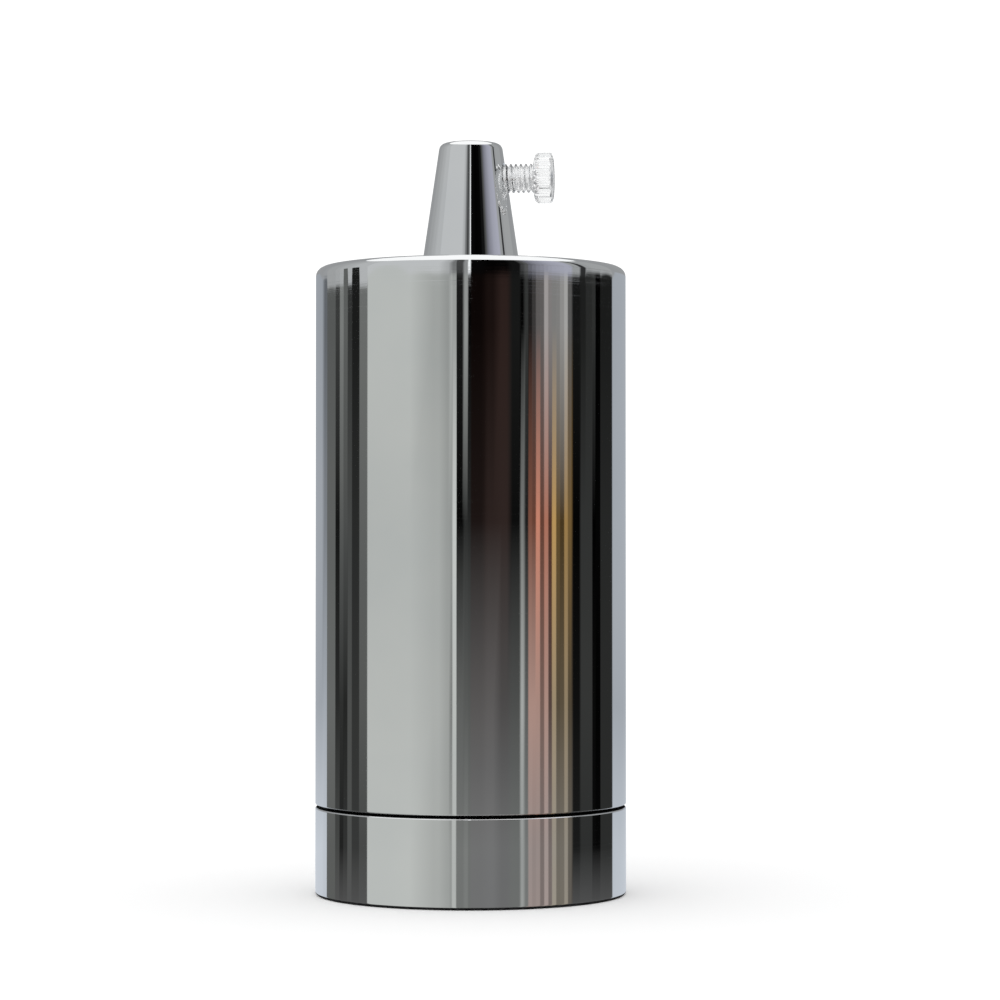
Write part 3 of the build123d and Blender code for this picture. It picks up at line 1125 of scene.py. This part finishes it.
@dataclass
class ScrewShell:
    """The lamp thread, rolled from thin sheet, with its floor plate."""

    radius: float = 13.3
    sheet: float = 0.35
    low: float = 5.2
    high: float = 26.0
    floor_bore: float = 7.0
    floor_rounding: float = 0.6
    thread: Thread = Thread(low=5.7, high=24.6, pitch=3.629, depth=1.1, run_out=0.5)
    columns: int = 144

    def outline(self) -> np.ndarray:
        """The sheet's outline: outside, floor plate and inside.

        Returns:
            Rows of (radius, height).
        """
        inside, under = self.radius - self.sheet, self.high - self.sheet
        rows = self.thread.rows(20)
        corners = (
            Corner(inside, self.low, 0.1),
            Corner(self.radius, self.low, 0.1, rows=rows),
            Corner(self.radius, self.high, self.floor_rounding),
            Corner(self.floor_bore, self.high),
            Corner(self.floor_bore, under),
            Corner(inside, under, self.floor_rounding - self.sheet, rows=rows),
        )
        return rounded_outline(corners)

    def warp(self, r: np.ndarray, z: np.ndarray, a: np.ndarray) -> tuple[np.ndarray, np.ndarray]:
        """Rolls the round lamp thread into both sides of the sheet."""
        return np.where(r > self.radius - self.sheet - GUARD, r - self.thread.wave(z, a), r), z

    def build(self, plated: Board) -> bpy.types.Object:
        """Builds and dresses the lamp thread."""
        piece = lathe_piece("lamp_thread", self.outline(), even_columns(self.columns), self.warp)
        return seat(piece, Body.SOCKET, Slot.PLATED_SHELL, plated, "screw_shell")


@dataclass
class Insides:
    """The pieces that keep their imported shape: insulating body, contacts, terminals and fasteners."""

    porcelain: tuple[str, ...] = ("porcelain_body",)
    steel: tuple[str, ...] = (
        "lock_nut",
        "tooth_washer",
        "earth_plate",
        "neutral_shell_screw",
        "shell_fixing_screws",
        "shell_fixing_nuts",
        "live_terminal_screw",
        "neutral_terminal_screw",
    )
    brass: tuple[str, ...] = (
        "earth_screw",
        "earth_wire_washer",
        "contact_bracket",
        "contact_rivet",
        "centre_contact",
        "live_terminal",
        "neutral_terminal",
    )

    def dress(self, porcelain: Board, steel: Board, brass: Board) -> None:
        """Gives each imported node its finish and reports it.

        Args:
            porcelain: finish of the insulating body.
            steel: finish of the plated steel pieces.
            brass: finish of the brass pieces.
        """
        for names, finish in ((self.porcelain, porcelain), (self.steel, steel), (self.brass, brass)):
            for name in names:
                finish.dress(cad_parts[name])
                log.info("%s: %s", name, finish.name)


# ---------------------------------------------------------------------------
# Studio
# ---------------------------------------------------------------------------


class Cast(Enum):
    """Casts of colour in the studio tent.

    Each is a colour, how much of it shows at the first four levels of a panel, and the colour above them.
    """

    PLAIN = ((0.985, 1.0, 0.985), (1.0, 1.0, 1.0, 1.0), (0.985, 0.995, 1.0))
    COOL = ((0.96, 0.99, 1.03), (1.0, 1.0, 1.0, 1.0), (0.98, 0.99, 1.0))
    RED = ((1.0, 0.66, 0.55), (0.25, 0.55, 1.0, 0.10), (0.96, 0.965, 1.04))
    GOLD = ((1.0, 0.80, 0.50), (0.25, 0.55, 1.0, 0.05), (0.96, 0.965, 1.04))
    BROWN = ((1.12, 0.87, 0.81), (0.0, 0.10, 0.8, 1.0), (1.0, 0.98, 1.0))


@dataclass(frozen=True)
class Panel:
    """An upright strip of the tent.

    end is where it stops, in degrees round from the camera towards +X. shades are how bright it looks in
    the chrome, from 0 to 1, low down, below the middle, at the middle, high up and above. It blends into
    the next panel over soft degrees to each side of its end, and top is the height of its upper edge.
    """

    end: float
    shades: tuple[float, float, float, float, float]
    cast: Cast = Cast.PLAIN
    soft: float = 0.4
    top: float = 173.0


@dataclass
class Tent:
    """The round tent that the chrome mirrors: light cloths, dark gaps between them and coloured strips."""

    radius: float = 1000.0
    low_levels: tuple[float, ...] = (-2600.0, -118.0, -85.0, -20.0, 62.0, 150.0)
    high_levels: tuple[float, ...] = (330.0, 1150.0)
    top_edge: float = 0.8
    faded: float = 0.34
    mirror_gain: float = 0.87
    gamma: float = 2.2
    panels: tuple[Panel, ...] = (
        Panel(-140, (0.78, 0.64, 0.63, 0.61, 0.58), Cast.COOL, soft=3),
        Panel(-132, (0.76, 0.66, 0.50, 0.40, 0.60), Cast.COOL),
        Panel(-118, (0.36, 0.41, 0.38, 0.35, 0.62), top=168),
        Panel(-112, (0.28, 0.18, 0.11, 0.24, 0.64), top=169),
        Panel(-107, (0.15, 0.20, 0.35, 0.48, 0.66), top=169),
        Panel(-102, (0.21, 0.16, 0.31, 0.37, 0.66), top=182),
        Panel(-97, (0.32, 0.31, 0.29, 0.21, 0.68), top=169),
        Panel(-89, (0.23, 0.21, 0.18, 0.13, 0.70), top=180),
        Panel(-81, (0.29, 0.34, 0.38, 0.42, 0.70), top=168),
        Panel(-36, (0.73, 0.71, 0.70, 0.72, 0.74), soft=9),
        Panel(-20, (0.66, 0.67, 0.66, 0.63, 0.74), soft=3),
        Panel(-15, (0.62, 0.62, 0.60, 0.58, 0.66), soft=1),
        Panel(-13.5, (0.58, 0.46, 0.58, 0.66, 0.52)),
        Panel(-10.5, (0.70, 0.73, 0.78, 0.62, 0.45)),
        Panel(-5, (0.45, 0.37, 0.06, 0.12, 0.28), soft=0.8),
        Panel(-2, (0.48, 0.35, 0.18, 0.58, 0.55)),
        Panel(0, (0.44, 0.34, 0.16, 0.05, 0.97), soft=0.3),
        Panel(10, (0.44, 0.34, 0.12, 0.07, 0.06), Cast.BROWN, soft=3),
        Panel(19, (0.45, 0.36, 0.17, 0.11, 0.04), Cast.BROWN, soft=3),
        Panel(28, (0.42, 0.30, 0.18, 0.17, 0.05), Cast.BROWN, soft=2),
        Panel(36, (0.43, 0.31, 0.08, 0.12, 0.10), soft=0.8),
        Panel(39, (0.60, 0.65, 0.47, 0.05, 0.26), soft=1),
        Panel(42, (0.46, 0.36, 0.14, 0.22, 0.34)),
        Panel(45, (0.60, 0.66, 0.46, 0.14, 0.42), Cast.RED),
        Panel(48, (0.57, 0.66, 0.40, 0.24, 0.48), Cast.RED),
        Panel(51.3, (0.59, 0.65, 0.77, 0.37, 0.53), Cast.RED),
        Panel(54.6, (0.47, 0.45, 0.39, 0.38, 0.56), Cast.RED),
        Panel(58, (0.63, 0.66, 0.66, 0.62, 0.59), Cast.RED),
        Panel(61, (0.46, 0.33, 0.31, 0.50, 0.62), Cast.RED),
        Panel(64.6, (0.60, 0.60, 0.71, 0.49, 0.64), Cast.GOLD),
        Panel(68, (0.44, 0.33, 0.37, 0.50, 0.65), Cast.GOLD),
        Panel(71.7, (0.45, 0.35, 0.28, 0.56, 0.66), Cast.GOLD),
        Panel(75, (0.57, 0.55, 0.59, 0.64, 0.67), Cast.GOLD),
        Panel(79, (0.38, 0.31, 0.43, 0.35, 0.67), Cast.GOLD, soft=1),
        Panel(87, (0.13, 0.09, 0.05, 0.11, 0.60), soft=1),
        Panel(93, (0.20, 0.22, 0.21, 0.14, 0.20), soft=0.8),
        Panel(100, (0.20, 0.22, 0.21, 0.18, 0.60), top=175),
        Panel(104, (0.07, 0.07, 0.03, 0.20, 0.62), top=175),
        Panel(110, (0.06, 0.04, 0.05, 0.04, 0.62), top=175),
        Panel(128, (0.19, 0.18, 0.17, 0.13, 0.62), soft=0.8, top=174),
        Panel(180, (0.76, 0.65, 0.66, 0.64, 0.58), Cast.COOL, soft=3),
    )

    def azimuths(self) -> np.ndarray:
        """Two azimuths for each panel, in degrees: past the blend at its start and before that at its end.

        Returns:
            The azimuths, in order round the tent.
        """
        ends = np.array([p.end for p in self.panels], float)
        soft = np.array([p.soft for p in self.panels], float)
        starts = np.concatenate([[-180.0], ends[:-1]])
        return np.stack([starts + np.roll(soft, 1), ends - soft], axis=1).ravel()

    def heights(self) -> np.ndarray:
        """The heights of the tent's rows at each azimuth: fixed ones, and two at each panel's upper edge.

        Returns:
            Heights as rows and azimuths.
        """
        top = np.repeat([p.top for p in self.panels], 2)
        fixed = [np.full(len(top), level) for level in self.low_levels]
        above = [np.full(len(top), level) for level in self.high_levels]
        return np.stack([*fixed, top - self.top_edge, top + self.top_edge, *above])

    def colours(self) -> np.ndarray:
        """The light that each point of the tent gives.

        A shade is multiplied by 1 − w + w · colour, where w is the share of the panel's cast at that level.
        It becomes light as its power gamma, divided by the mirror's gain.

        Returns:
            An array of rows, azimuths and channels.
        """
        shades = np.array([p.shades for p in self.panels])
        colour = np.array([p.cast.value[0] for p in self.panels])
        share = np.array([(*p.cast.value[1], 0.0) for p in self.panels])
        above = np.array([p.cast.value[2] for p in self.panels])
        cast = 1 + share[:, :, None] * (colour[:, None, :] - 1)
        cast[:, -1] = above
        shown = shades[:, :, None] * cast
        faded = np.maximum(shown[:, :1], self.faded)
        upright = [shown[:, k : k + 1] for k in (0, 1, 2, 3, 3, 4, 4, 4)]
        rows = np.concatenate([shown[:, 1:2], faded, *upright], axis=1)
        light = np.clip(rows, 0, 1) ** self.gamma / self.mirror_gain
        return np.repeat(light.transpose(1, 0, 2), 2, axis=1)

    def build(self) -> bpy.types.Object:
        """Builds the tent, which only mirrors and clear pieces see.

        Returns:
            The staged object.
        """
        turn = np.radians(self.azimuths())
        z = self.heights()
        x = np.broadcast_to(self.radius * np.sin(turn), z.shape)
        y = np.broadcast_to(-self.radius * np.cos(turn), z.shape)
        grid = np.stack([x, y, z], axis=-1)
        tent = make_piece("studio_tent", [Patch(grid, round_columns=True)])
        co = np.empty(len(tent.data.vertices) * 3, np.float32)
        tent.data.vertices.foreach_get("co", co)
        co = co.reshape(-1, 3) / MM
        nearest = ((co[:, None] - grid.reshape(1, -1, 3)) ** 2).sum(axis=2).argmin(axis=1)
        light = np.ones((len(co), 4), np.float32)
        light[:, :3] = self.colours().reshape(-1, 3)[nearest]
        layer = tent.data.color_attributes.new("light", "FLOAT_COLOR", "POINT")
        layer.data.foreach_set("color", light.ravel())
        tent.data.materials.append(self.material())
        hide_from(tent, "camera", "diffuse", "shadow", "volume_scatter")
        return tent

    def material(self) -> bpy.types.Material:
        """A glow whose colour is the mesh's own light attribute.

        Returns:
            The material.
        """
        material = bpy.data.materials.new("tent light")
        material.use_nodes = True
        tree = material.node_tree
        tree.nodes.remove(tree.nodes["Principled BSDF"])
        glow = tree.nodes.new("ShaderNodeEmission")
        light = tree.nodes.new("ShaderNodeAttribute")
        light.attribute_name = "light"
        tree.links.new(light.outputs["Color"], glow.inputs["Color"])
        tree.links.new(glow.outputs["Emission"], tree.nodes["Material Output"].inputs["Surface"])
        material.cycles.emission_sampling = "NONE"
        return material


@dataclass
class Studio:
    """Pale floor, soft light all round and the camera."""

    floor_radius: float = 6000.0
    floor_centre: float = 40.0
    floor_height: float = -0.02
    floor_rings: int = 10
    floor_columns: int = 96
    contact_radius: float = 22.4
    contact_height: float = -0.2
    contact_columns: int = 64
    contact_shade: float = 0.02
    backdrop_radius: float = 900.0
    backdrop_columns: int = 49
    backdrop_start: float = 152.0
    backdrop_levels: tuple[float, ...] = (-300.0, 900.0)
    floor_shade: float = 0.955
    floor_mottle: float = 0.01
    sky: float = 1.12
    key_power: float = 1.2
    key_size: float = 0.9
    key_place: tuple[float, float, float] = (-0.7, -0.9, 1.3)
    distance: float = 430.0
    eye_height: float = 46.8
    lens: float = 111.5
    pitch: float = math.radians(1.0184)
    yaw: float = math.radians(-0.54)

    def floor(self) -> bpy.types.Object:
        """Builds the floor: a disc whose rings of points grow wider outwards, clear as seen from below.

        Returns:
            The staged object.
        """
        rings = np.geomspace(self.floor_centre, self.floor_radius, self.floor_rings)
        rings = np.concatenate([[0.0], rings])
        floor = disc("floor", rings[::-1], self.floor_height, self.floor_columns)
        board = Board("floor")
        cloud = board.noise([3.0] * 3, 2.0)
        low = (self.floor_shade - self.floor_mottle,) * 3
        high = (self.floor_shade + self.floor_mottle,) * 3
        side = board.add("ShaderNodeNewGeometry").outputs["Backfacing"]
        board.shade(
            Base_Color=board.blended(cloud, low, high),
            Roughness=1.0,
            Specular_IOR_Level=0.0,
            Alpha=board.ranged(side, 0.0, 1.0, 1.0, 0.0),
        )
        board.dress(floor)
        hide_from(floor, "glossy")
        return floor

    def contact(self) -> bpy.types.Object:
        """Builds a painted contact shadow: a dark patch under the object, which only the lowest edge
        mirrors.

        Returns:
            The staged object.
        """
        radii = np.array([self.contact_radius, 0.0])
        patch = disc("contact_shade", radii, self.contact_height, self.contact_columns)
        board = Board("contact shade")
        # Painted contact shadow: near-black, seen only in the chrome's reflection.
        board.shade(Base_Color=(*[self.contact_shade] * 3, 1), Roughness=1.0)
        board.dress(patch)
        hide_from(patch, "camera", "diffuse", "shadow", "transmission")
        return patch

    def backdrop(self) -> bpy.types.Object:
        """Builds the white cloth behind the object, which only clear pieces look through to.

        Returns:
            The staged object.
        """
        turn = np.radians(np.linspace(self.backdrop_start, 360 - self.backdrop_start, self.backdrop_columns))
        x, y = self.backdrop_radius * np.sin(turn), -self.backdrop_radius * np.cos(turn)
        z = np.array(self.backdrop_levels)[:, None] + 0 * turn
        grid = np.stack([x + 0 * z, y + 0 * z, z], axis=-1)
        cloth = make_piece("white_backdrop", [Patch(grid)])
        board = Board("white backdrop")
        board.shade(Base_Color=(0, 0, 0, 1), Emission_Color=(1, 1, 1, 1), Emission_Strength=1.0)
        board.material.cycles.emission_sampling = "NONE"
        board.dress(cloth)
        hide_from(cloth, "camera", "diffuse", "glossy", "shadow")
        return cloth

    def light(self) -> None:
        """Sets the white sky and one large soft key light from the upper left."""
        world = bpy.data.worlds.new("soft sky")
        world.use_nodes = True
        background = world.node_tree.nodes["Background"]
        background.inputs["Color"].default_value = (1, 1, 1, 1)
        background.inputs["Strength"].default_value = self.sky
        bpy.context.scene.world = world
        lamp = bpy.data.lights.new("key", "AREA")
        lamp.energy = self.key_power
        lamp.size = self.key_size
        key = bpy.data.objects.new("key", lamp)
        key.location = self.key_place
        x, y, z = self.key_place
        key.rotation_euler = (math.atan2(math.hypot(x, y), z), 0, math.atan2(x, -y))
        key.visible_glossy = False
        bpy.context.scene.collection.objects.link(key)

    def camera(self) -> None:
        """Sets the camera in front of the object, level with its middle and turned a little to its right."""
        data = bpy.data.cameras.new("camera")
        data.lens = self.lens
        data.clip_start = 0.01
        eye = bpy.data.objects.new("camera", data)
        eye.location = (0, -self.distance * MM, self.eye_height * MM)
        eye.rotation_euler = (math.pi / 2 + self.pitch, 0, self.yaw)
        bpy.context.scene.collection.objects.link(eye)
        bpy.context.scene.camera = eye
        bpy.context.scene.view_settings.view_transform = "Standard"

    def build(self, tent: Tent) -> None:
        """Builds the floor, lights, tent and camera.

        Args:
            tent: the tent round the object.
        """
        self.floor()
        self.contact()
        self.backdrop()
        self.light()
        tent.build()
        self.camera()


def main() -> None:
    """Builds the lampholder from the outside in, and then the studio round it."""
    logging.basicConfig(level=logging.INFO, format="%(name)s: %(message)s")
    chrome = Chrome().board()
    plastic = ClearPlastic().board()
    porcelain = Porcelain().board()
    steel = Metal("zinc plated steel", (0.62, 0.64, 0.66), (0.50, 0.51, 0.52), 0.24, 0.42).board()
    brass = Metal("satin brass", (0.80, 0.61, 0.32), (0.62, 0.45, 0.22), 0.20, 0.42).board()
    plated = Metal("nickel plated sheet", (0.76, 0.73, 0.67), (0.68, 0.65, 0.58), 0.12, 0.26).board()
    Cup().build(chrome)
    RetainingRing().build(chrome)
    CordGrip().build(chrome)
    ThumbScrew().build(plastic)
    Nipple().build(steel)
    ScrewShell().build(plated)
    Insides().dress(porcelain, steel, brass)
    Studio().build(Tent())


if __name__ == "__main__":
    main()
